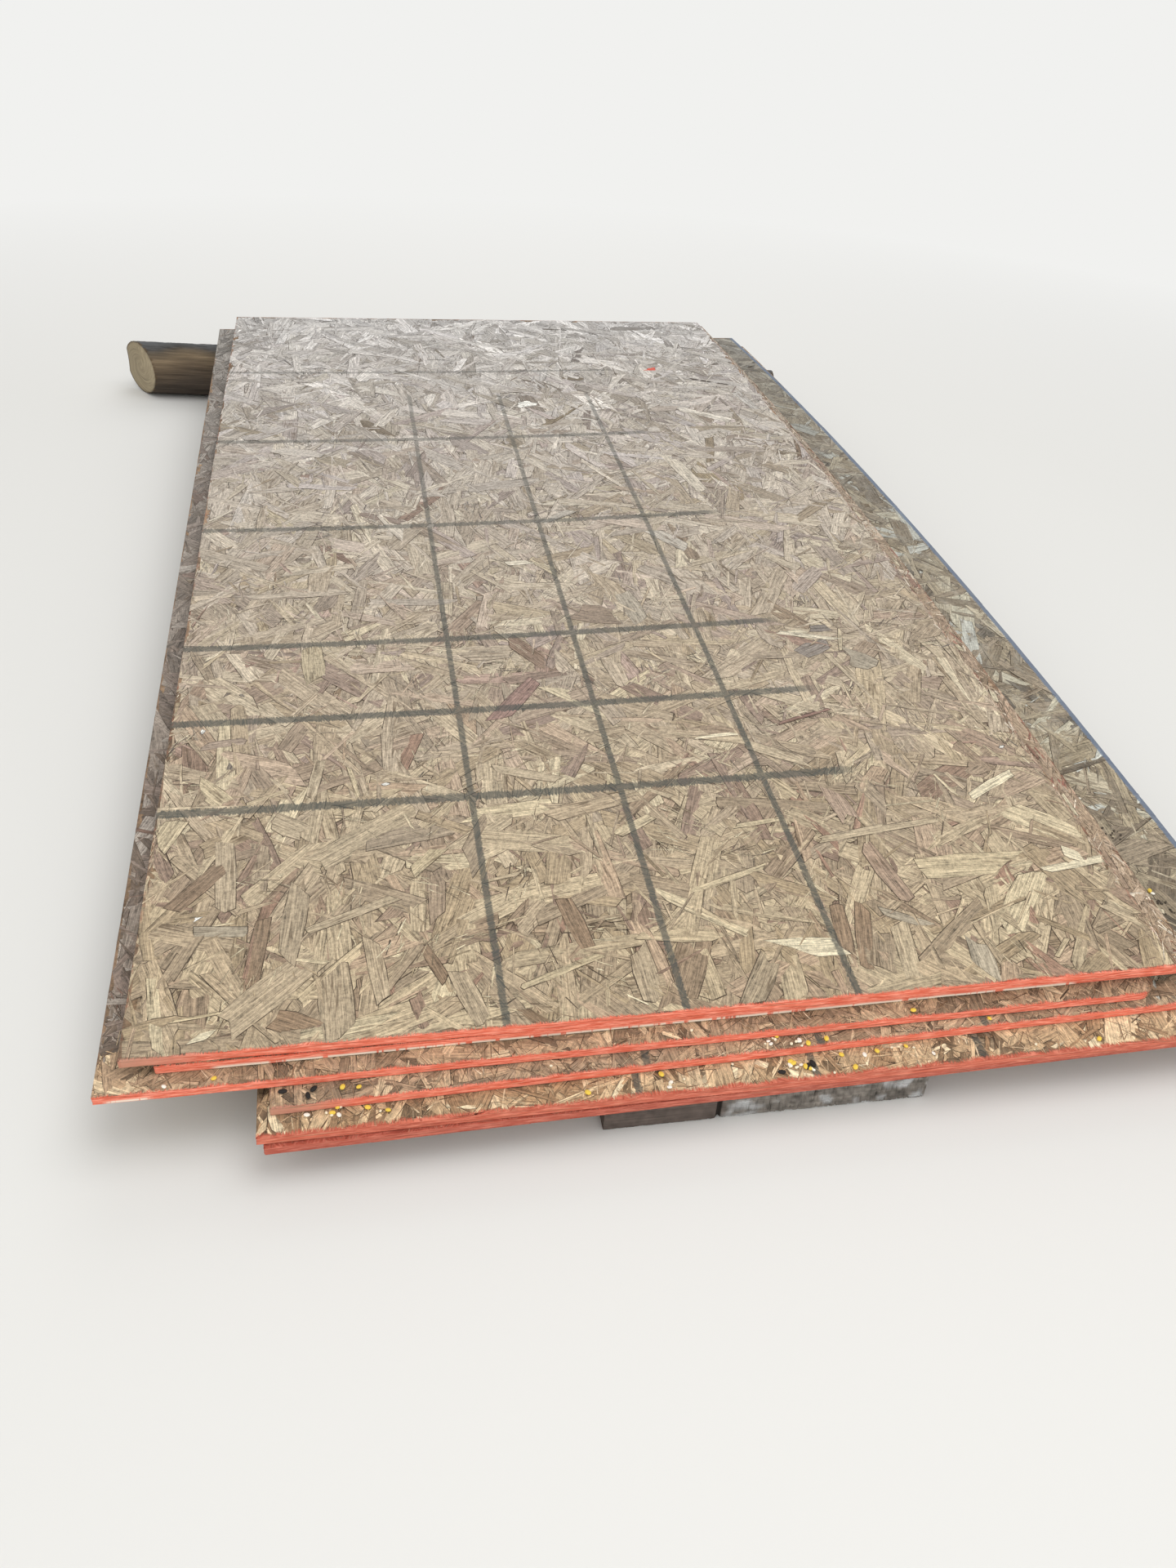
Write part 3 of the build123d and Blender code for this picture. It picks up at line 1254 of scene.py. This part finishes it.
SHEETS = [
    Sheet(
        "top_sheet", 5, 0.0, 0.0, 0.0, 11,
        OsbFinish("weathered_osb", 1.0, faded_from_left_mm=85.0),
        "osb_top", marks=STANDING_OUT, frayed=(300, 4.0),
    ),
    Sheet(
        "second_sheet", 4, 35.0, -2.5, 0.45, 12,
        OsbFinish("osb_second", 2.0, lines=False, chipped_mm=(55, 1060)),
        side=(1160.0, 1300.0, Wood.BROKEN), far_tone="A69D90", marks=STRIP_MARKS,
        frayed=(1800, 46.0),
    ),
    Sheet(
        "third_sheet", 3, -26.0, -26.0, 0.4, 13,
        OsbFinish(
            "osb_third", 3.0, lines=False, chipped_mm=(10, 62), mist_mm=3.0, side_flecks=False,
        ),
        broken_corner=24.0, side=(-50.0, 80.0, Wood.SHADED), far_tone="8E8A85",
        greying=(0.0, 0.95, 1.2),
    ),
    Sheet(
        "fourth_sheet", 2, 152.0, -52.0, 1.3, 14,
        OsbFinish("osb_fourth", 4.0, faded_from_left_mm=85.0, blue_edge_mm=9.0, bleached=0.2),
        side=(900.0, 1300.0, Wood.MOTTLED), far_tone="6E6C67", greying=(0.05, 0.8, 1.2),
    ),
    Sheet(
        "fifth_sheet", 1, 138.0, -79.0, 0.5, 15,
        OsbFinish(
            # The darker, duller seal here is partly age and partly painted shade on the lower front
            "osb_fifth", 5.0, paint=("C9674F", "9C4837", "E08A72"), mist_mm=6.5, side_flecks=False,
        ),
        wood=Wood.GOLDEN,
    ),
    Sheet(
        "bottom_sheet", 0, 145.0, -84.0, 1.1, 16,
        OsbFinish(
            # Darker still: partly age and partly painted shade on the lowest front
            "osb_bottom", 6.0, lines=False, paint=("B75C49", "8E4234", "CF7C68"), mist_mm=20.0,
            side_flecks=False,
        ),
    ),
]


@dataclass
class Log:
    """The rear bearer: a log with bark left on its back, its left end sawn at a slant (mm)."""

    radius: float = 65.0
    left: float = -306.0
    right: float = 1390.0
    askew: float = 200.0
    cut_angle: float = 38.0
    rings: int = 220
    around: int = 120
    end_steps: int = 14
    # Softwood log, felled and left outdoors: dark scaly bark with matt streaks along the trunk
    finish: WoodFinish = WoodFinish("barked_log", 4.0, 90.0, 0.55, 2.2)
    rng: Rng = field(default_factory=partial(np.random.default_rng, 31))

    # Colours round the log by degrees from its top towards the pile's front: grey bark on the
    # back, a tan peeled band, then brown down to the floor and up again, darkest low on the log,
    # which is painted shade
    bark_tones_with_shade = {
        0: "5A5B5C", 22: "4C4A48", 34: "615648", 52: "776752", 74: "615343", 110: "4E443B",
        180: "3A332D", 250: "463C35", 300: "5A4F45", 335: "545150", 360: "5C5E60",
    }
    end_tones = ("A5977D", "7B6A54")
    rind_tone = "5B4B38"

    def build(self) -> None:
        """Builds the log: radius over angle and length, with both ends closed by ring grids.

        Lengthwise ribs, rough noise and a rougher bark on top are taken off the radius.
        """
        low, high = (np.array(corner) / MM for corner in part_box("rear_bearer_log"))
        dx, dy = PILE.shift
        start = np.array([self.left + dx, SHEET_LENGTH + PILE.log_past_end + dy, self.radius])
        heading = math.atan2(-self.askew, self.right - self.left)
        end_radius = self.end_radius()
        end = np.array([self.right + dx, start[1] - self.askew, end_radius])
        length = float(np.linalg.norm(end - start))
        axis = (end - start) / length
        side = np.array([-math.sin(heading), math.cos(heading), 0.0])
        up = np.cross(axis, side)
        # theta 0 points up and a quarter turn points to the pile's front
        theta = np.linspace(0, 2 * np.pi, self.around, endpoint=False)
        out = np.cos(theta)[None, :, None] * up - np.sin(theta)[None, :, None] * side
        first = self.radius * math.tan(math.radians(self.cut_angle)) * (1 + np.sin(theta))[None, :]
        along = first + (length - first) * np.linspace(0, 1, self.rings)[:, None]
        radius = self.radius + (end_radius - self.radius) * along / length
        rough = np.abs(smooth_noise(self.rng, (self.around, self.rings), 3).T)
        ribs = np.abs(smooth_noise(self.rng, (1, self.around), 3))
        bark = np.clip(np.cos(theta) * 3 - 1.6, 0, 1)[None, :]
        inside = 0.4 + 0.5 * ribs + 0.25 * rough + bark * (1.2 * rough)
        points = start + along[..., None] * axis + (radius - inside)[..., None] * out
        points[..., 2] = np.clip(points[..., 2], 0.05, high[2])
        points[..., 0] = np.clip(points[..., 0], low[0] + 0.1, high[0] - 0.1)
        grain = np.stack([along, np.broadcast_to(theta * self.radius, along.shape)], -1) * MM
        sides = grid_faces(self.rings, self.around, closed=True)[:, ::-1]
        shell = Patch(points * MM, grain, self.colours(theta), [sides])
        ends = [self.sawn_end(points[0], True), self.sawn_end(points[-1], False)]
        piece = Patch.join([shell] + ends).build("rear_log", self.finish.make(), "log", smooth=True)
        close_up(piece)
        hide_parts("rear_bearer_log")

    def end_radius(self) -> float:
        """Radius at the right end, where the log's back still meets the leaning pile."""
        over = PILE.foot + (SHEET_LENGTH + PILE.log_past_end - self.askew) * math.tan(PILE.lean)
        return (over * math.cos(PILE.lean) - PILE.clearance) / (1 + math.cos(PILE.lean))

    def colours(self, theta: Array) -> Array:
        """The bark's colours by angle, with painted shade low down, their borders wavy and their
        brightness patchy.

        Args:
            theta: the angles round the log.

        Returns:
            The colours by ring and angle.
        """
        stops = np.radians(list(self.bark_tones_with_shade))
        table = np.array([linear(code) for code in self.bark_tones_with_shade.values()])
        wave = theta[None, :] + 0.10 * smooth_noise(self.rng, (1, self.rings), 9).T
        wave = np.mod(wave, 2 * np.pi)
        tone = np.stack([np.interp(wave, stops, table[:, i]) for i in range(3)], -1)
        patchy = 1 + 0.15 * smooth_noise(self.rng, (self.around, self.rings), 9).T[..., None]
        return np.clip(tone * patchy, 0.005, 1)

    def sawn_end(self, ring: Array, left: bool) -> Patch:
        """A flat end: the outer ring drawn to its middle in steps, with growth-ring colours.

        Args:
            ring: the outer ring's points.
            left: whether it is the left end.

        Returns:
            The end, which faces outwards.
        """
        middle = ring.mean(0)
        share = np.linspace(1, 0.02, self.end_steps)[:, None, None]
        points = middle + (ring[None] - middle) * share
        radial = np.broadcast_to(share[..., 0], points.shape[:2])
        light = 0.95 + 0.05 * np.sin(radial * 60.0)
        tone = linear(self.end_tones[0 if left else 1]) * light[..., None]
        tone = np.where(radial[..., None] > 0.96, linear(self.rind_tone), tone)
        faces = grid_faces(self.end_steps, self.around, closed=True)
        cap = (np.arange(self.around) + (self.end_steps - 1) * self.around)[None]
        if not left:
            faces, cap = faces[:, ::-1], cap[:, ::-1]
        turn = np.linspace(0, 2 * np.pi, self.around, endpoint=False)
        grain = np.stack([radial * 0.3, radial * turn[None] * 0.02], -1)
        return Patch(points * MM, grain, tone, [faces, cap])


@dataclass
class FrontTimber:
    """The front bearer: a sawn timber laid flat, weathered grey and split (mm)."""

    arris: float = 3.0
    stations: int = 380
    crack_at: float = 132.0
    crack_half: float = 2.6
    crack_depth: float = 4.0
    # Sawn softwood, rained on for years: matt grey streaks along the grain, pale where scraped
    finish: WoodFinish = WoodFinish("weathered_timber", 2.6, 80.0, 0.5, 1.2)
    rng: Rng = field(default_factory=partial(np.random.default_rng, 41))

    # Colours of the smooth part left of the crack, darker wood with painted shade in it, the rough
    # part, the scars, and the painted shade in the crack
    smooth_tone, rough_tone, scar_tone, crack_tone = "564C46", "6F6962", "AFB0B0", "241F1A"

    def build(self) -> None:
        """Carries a rounded rectangle along the timber, with a crack and rough patches.

        The pits are two noises, along and round the timber, and are deeper past the crack, whose
        depth falls off on both sides as a bell curve.
        """
        low, high = (np.array(corner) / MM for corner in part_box("front_bearer"))
        width, height = high[1] - low[1], high[2] - low[2]
        radii = (self.arris,) * 4
        edge, _ = rounded_outline((width, height), radii, arc_points=4, step=5.0, first=1)
        lap = len(edge)
        x = np.linspace(low[0], high[0], self.stations)
        past_crack = x - low[0] - self.crack_at
        pit = np.abs(smooth_noise(self.rng, (self.stations, lap), 2)) * 0.5
        pit += np.abs(self.noise(lap, 9)) * 0.5
        rough = np.clip(past_crack / 14, 0, 1)[:, None]
        pit *= 0.35 + 1.3 * rough
        crack = np.exp(-((past_crack / self.crack_half) ** 2))[:, None] * self.crack_depth
        inward = np.array([width / 2, height / 2]) - edge
        inward /= np.linalg.norm(inward, axis=1, keepdims=True)
        section = edge[None] + inward[None] * (pit + crack)[..., None]
        section[..., 1] = np.clip(section[..., 1], 0.02, height - 0.02)
        along = np.broadcast_to(x[:, None], section.shape[:2])
        points = np.stack([along, low[1] + section[..., 0], low[2] + section[..., 1]], -1) * MM
        grain = np.stack([along, np.broadcast_to(run_along(edge), along.shape)], -1) * MM
        tone = self.colours(rough, crack, lap)
        ends = [np.arange(lap)[None], (np.arange(lap) + (self.stations - 1) * lap)[None, ::-1]]
        timber = Patch(points, grain, tone, [grid_faces(self.stations, lap, closed=True), *ends])
        piece = timber.build("front_timber", self.finish.make(), "timber")
        close_up(piece)
        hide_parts("front_bearer")

    def noise(self, lap: int, reach: int) -> Array:
        """Noise smoothed along the timber, by station and point round it."""
        return smooth_noise(self.rng, (lap, self.stations), reach).T

    def colours(self, rough: Array, crack: Array, lap: int) -> Array:
        """Colours by station: smooth to rough, mottled, with pale scars and painted shade in the crack.

        Args:
            rough: how rough each station is.
            crack: how deep the crack is there.
            lap: how many points go round the timber.

        Returns:
            The colours by station and point round it.
        """
        tone = linear(self.smooth_tone) * (1 - rough[..., None])
        tone = tone + linear(self.rough_tone) * rough[..., None]
        mottle = 0.10 + 0.14 * rough
        tone = tone * (1 + mottle * self.noise(lap, 5))[..., None]
        scar = self.noise(lap, 15)
        scar = np.clip((scar + np.roll(scar, 1, 1) + np.roll(scar, -1, 1)) / 2 - 0.45, 0, 0.8) * rough
        tone = tone * (1 - scar[..., None]) + linear(self.scar_tone) * scar[..., None]
        return np.clip(np.where(crack[..., None] > 1.0, linear(self.crack_tone), tone), 0.01, 1)


class Kernel(Enum):
    """Kinds of spilled grain: half sizes along, across and up in millimetres, and colour."""

    MILLET = ((2.1, 1.8, 1.4), "E9DEC2")
    KERNEL = ((3.7, 2.8, 1.8), "E6C552")
    SUNFLOWER = ((6.4, 3.7, 2.2), "2A2624")
    HUSK = ((3.4, 2.4, 1.0), "EFE9DC")
    DIRT = ((2.2, 1.6, 0.8), "4A4238")


# Heaps by sheet: the initials of their kernels, and the heap's middle across and along
HEAPS = {
    "third_sheet": (("K", 122, 10), ("H", 72, 6), ("M", 640, 12), ("K", 905, 9)),
    "fourth_sheet": (
        ("S", 14, 20), ("S", 46, 19), ("S", 40, 11), ("K", 76, 17), ("K", 93, 15), ("K", 617, 8),
        ("MHKMMH", 558, 12), ("HMKHMM", 583, 7), ("M", 300, 14), ("K", 820, 10),
        ("DDDDDD", 1132, 296), ("DDDD", 1140, 286), ("DDDDDD", 1132, 160), ("DDDD", 1135, 141),
        ("HK", 1122, 179), ("H", 1127, 368),
    ),
    "fifth_sheet": (
        ("H", 52, 23), ("M", 72, 23), ("KHM", 80, 22), ("MK", 87, 24), ("K", 115, 24), ("M", 128, 18),
        ("K", 136, 18), ("K", 350, 13), ("K", 435, 27), ("HMHM", 449, 13), ("M", 518, 31),
        ("KSMHK", 584, 26), ("MSKMH", 597, 19), ("HKMS", 609, 13), ("M", 630, 5), ("K", 646, 28),
        ("K", 656, 9), ("H", 673, 25), ("K", 689, 28), ("M", 708, 31), ("KM", 733, 26), ("H", 754, 17),
        ("M", 880, 14), ("K", 960, 12),
    ),
}


@dataclass
class SpilledGrain:
    """Seeds and kernels lying on the ledges at the front of the stack (mm)."""

    around: int = 8
    rows: int = 6
    # How far a heap spreads across and along, and how deep a seed has sunk among the strands
    heap_spread: tuple = (5.5, 3.5)
    sunk: float = 0.2
    # Dry seed in its husk, air-dried on the stalk: matt and finely ribbed
    finish: WoodFinish = WoodFinish("dry_grain", 1.5, 3.0, 0.2, 0.1)
    rng: Rng = field(default_factory=partial(np.random.default_rng, 51))

    def build(self) -> None:
        """Builds every seed as a squashed ball, its size and colour by its kind."""
        by_initial = {kernel.name[0]: kernel for kernel in Kernel}
        patches = []
        for sheet in SHEETS:
            heaps = HEAPS.get(sheet.name, ())
            if not heaps:
                continue
            kernels = [by_initial[letter] for letters, _, _ in heaps for letter in letters]
            middles = np.array([(x, y) for letters, x, y in heaps for _ in letters], float)
            many = np.array([len(letters) > 1 for letters, _, _ in heaps for _ in letters])
            middles += self.rng.normal(0, 1, middles.shape) * self.heap_spread * many[:, None]
            patches.append(self.seeds(sheet, kernels, middles))
        Patch.join(patches).build("spilled_grain", self.finish.make(), "osb", smooth=True)

    def seeds(self, sheet: Sheet, kernels: list[Kernel], middles: Array) -> Patch:
        """Squashed balls on a latitude and longitude grid, lying on the sheet.

        Args:
            sheet: the sheet that they lie on.
            kernels: their kinds.
            middles: their places across and along it, one row a seed.

        Returns:
            The patch of seeds.
        """
        rng, count = self.rng, len(kernels)
        size = np.array([kernel.value[0] for kernel in kernels])
        size *= rng.uniform(0.75, 1.1, (count, 1))
        colours = np.array([linear(kernel.value[1]) for kernel in kernels])
        lat = np.linspace(0.08, np.pi - 0.08, self.rows)[:, None]
        lon = np.linspace(0, 2 * np.pi, self.around, endpoint=False)
        ball = [np.sin(lat) * np.cos(lon), np.sin(lat) * np.sin(lon), np.cos(lat) + 0 * lon]
        ball = np.stack(ball, -1).reshape(-1, 3)
        turn = rng.uniform(0, np.pi, count)[:, None]
        u, v = (ball[None, :, axis] * size[:, axis : axis + 1] for axis in (0, 1))
        x, y = sheet.to_pile(*turned(u, v, turn, (middles[:, :1], middles[:, 1:])))
        foot = sheet.level * SHEET_PITCH + SHEET_THICKNESS - self.sunk
        points = PILE.place(x, y, foot + (1 + ball[None, :, 2]) * size[:, 2:])
        n = self.rows * self.around
        start = (np.arange(count) * n)[:, None, None]
        sides = grid_faces(self.rows, self.around, closed=True)[None, :, ::-1] + start
        first, last = np.arange(self.around), np.arange(self.around) + n - self.around
        caps = np.concatenate([start[:, 0] + first, start[:, 0] + last[::-1]])
        grain = np.tile(ball[:, :2], (count, 1)) * 0.003 + np.repeat(rng.random((count, 2)), n, 0)
        return Patch(points, grain, np.repeat(colours, n, 0), [sides.reshape(-1, 4), caps])


@dataclass(frozen=True)
class Lamp:
    """A large soft lamp: its place and aim in metres, its side and its power in watts."""

    name: str
    place: tuple[float, float, float]
    aim: tuple[float, float, float]
    size: float
    power: float

    def build(self) -> None:
        """Adds the lamp, turned so that it shines at its aim."""
        data = bpy.data.lights.new(self.name, "AREA")
        data.size, data.energy = self.size, self.power
        back = Vector(self.place) - Vector(self.aim)
        turn = back.to_track_quat("Z", "Y").to_matrix().to_4x4()
        add_object(self.name, data).matrix_world = Matrix.Translation(Vector(self.place)) @ turn


@dataclass(frozen=True)
class Studio:
    """A pale floor, soft lamps and the camera at the photograph's angle."""

    focal_px: float = 1512.63
    frame_height_px: float = 1920.0
    sensor_mm: float = 36.0
    place_mm: tuple = (274.37, -896.93, 1035.06)
    right: tuple = (0.983495, -0.169321, 0.063779)
    down: tuple = (-0.053551, -0.609105, -0.79128)
    ahead: tuple = (0.172828, 0.774805, -0.608119)
    floor_reach: float = 30.0
    floor_tone: str = "DDDCD9"
    backdrop: str = "F1F1EF"
    sky_strength: float = 0.72
    white_from: float = 1.7
    white_over: float = 2.2
    lamps: tuple[Lamp, ...] = (
        Lamp("key", (1.2, -0.6, 4.8), (0.0, 0.0, 0.0), 4.2, 95.0),
        Lamp("fill", (-3.4, -1.6, 3.2), (0.0, 0.0, 0.1), 3.6, 28.0),
        Lamp("back", (0.3, 4.8, 3.4), (0.0, 0.3, 0.1), 3.4, 60.0),
        Lamp("front", (0.2, -4.4, 1.0), (0.0, -1.2, 0.1), 2.6, 60.0),
    )

    def camera(self) -> None:
        """Sets the camera from its place and directions over the top sheet's face."""
        data = bpy.data.cameras.new("camera")
        data.sensor_width = self.sensor_mm
        data.lens = self.focal_px / self.frame_height_px * self.sensor_mm
        data.clip_start, data.clip_end = 0.05, 60.0
        x, y, z = self.place_mm
        datum = TOP_LEVEL * SHEET_PITCH + SHEET_THICKNESS
        place = PILE.place(x, y, z + datum, warped=False)
        s, c = math.sin(PILE.lean), math.cos(PILE.lean)
        right, down, ahead = (
            Vector((x, y * c - z * s, y * s + z * c)) for x, y, z in (self.right, self.down, self.ahead)
        )
        axes = Matrix((right, -down, -ahead)).transposed().to_4x4()
        camera = add_object("camera", data)
        camera.matrix_world = Matrix.Translation(Vector(place)) @ axes
        bpy.context.scene.camera = camera

    def floor(self) -> None:
        """A pale floor that takes the shadow near the stack and fades to the backdrop's white."""
        mesh = bpy.data.meshes.new("floor")
        r = self.floor_reach
        mesh.from_pydata([(-r, -r, 0), (r, -r, 0), (r, r, 0), (-r, r, 0)], [], [(0, 1, 2, 3)])
        floor = add_object("floor", mesh)
        # Matt painted screed, rolled smooth: no gloss, so that it shows the shadow alone
        material = bpy.data.materials.new("pale_floor")
        add = clear_nodes(material)
        away = add("VectorMath", add("NewGeometry"), operation="LENGTH")
        away = add("Math", away, self.white_from, operation="SUBTRACT")
        far = add("Math", away, 1.0 / self.white_over, operation="MULTIPLY", use_clamp=True)
        far = add("Math", far, add("LightPath"), operation="MULTIPLY")
        matt = add("BsdfPrincipled", self.floor_tone, Roughness=0.9)
        add("OutputMaterial", add("MixShader", far, matt, add("Emission", self.backdrop)))
        mesh.materials.append(material)

    def sky(self) -> None:
        """An even sky: the backdrop where it is seen itself, and a little dimmer as light."""
        world = bpy.data.worlds.new("sky")
        bpy.context.scene.world = world
        add = clear_nodes(world)
        ray = add("LightPath").node.outputs
        seen = add("Math", ray["Is Camera Ray"], ray["Is Glossy Ray"], operation="MAXIMUM")
        seen = add("Math", seen, ray["Is Transmission Ray"], operation="MAXIMUM")
        dim = self.sky_strength
        strength = add("Math", seen, 1.0 - dim, dim, operation="MULTIPLY_ADD")
        add("OutputWorld", add("Background", self.backdrop, strength))

    def build(self) -> None:
        """Sets up the camera, the floor, the lamps, the sky and the view settings."""
        self.camera()
        self.floor()
        for lamp in self.lamps:
            lamp.build()
        self.sky()
        bpy.context.scene.view_settings.view_transform = "Standard"


def main() -> None:
    """Builds the stage and the pieces in order."""
    for piece in (Studio(), *SHEETS, FrontTimber(), Log(), SpilledGrain()):
        piece.build()
        log.info("built %s", getattr(piece, "name", type(piece).__name__))


if __name__ == "__main__":
    main()
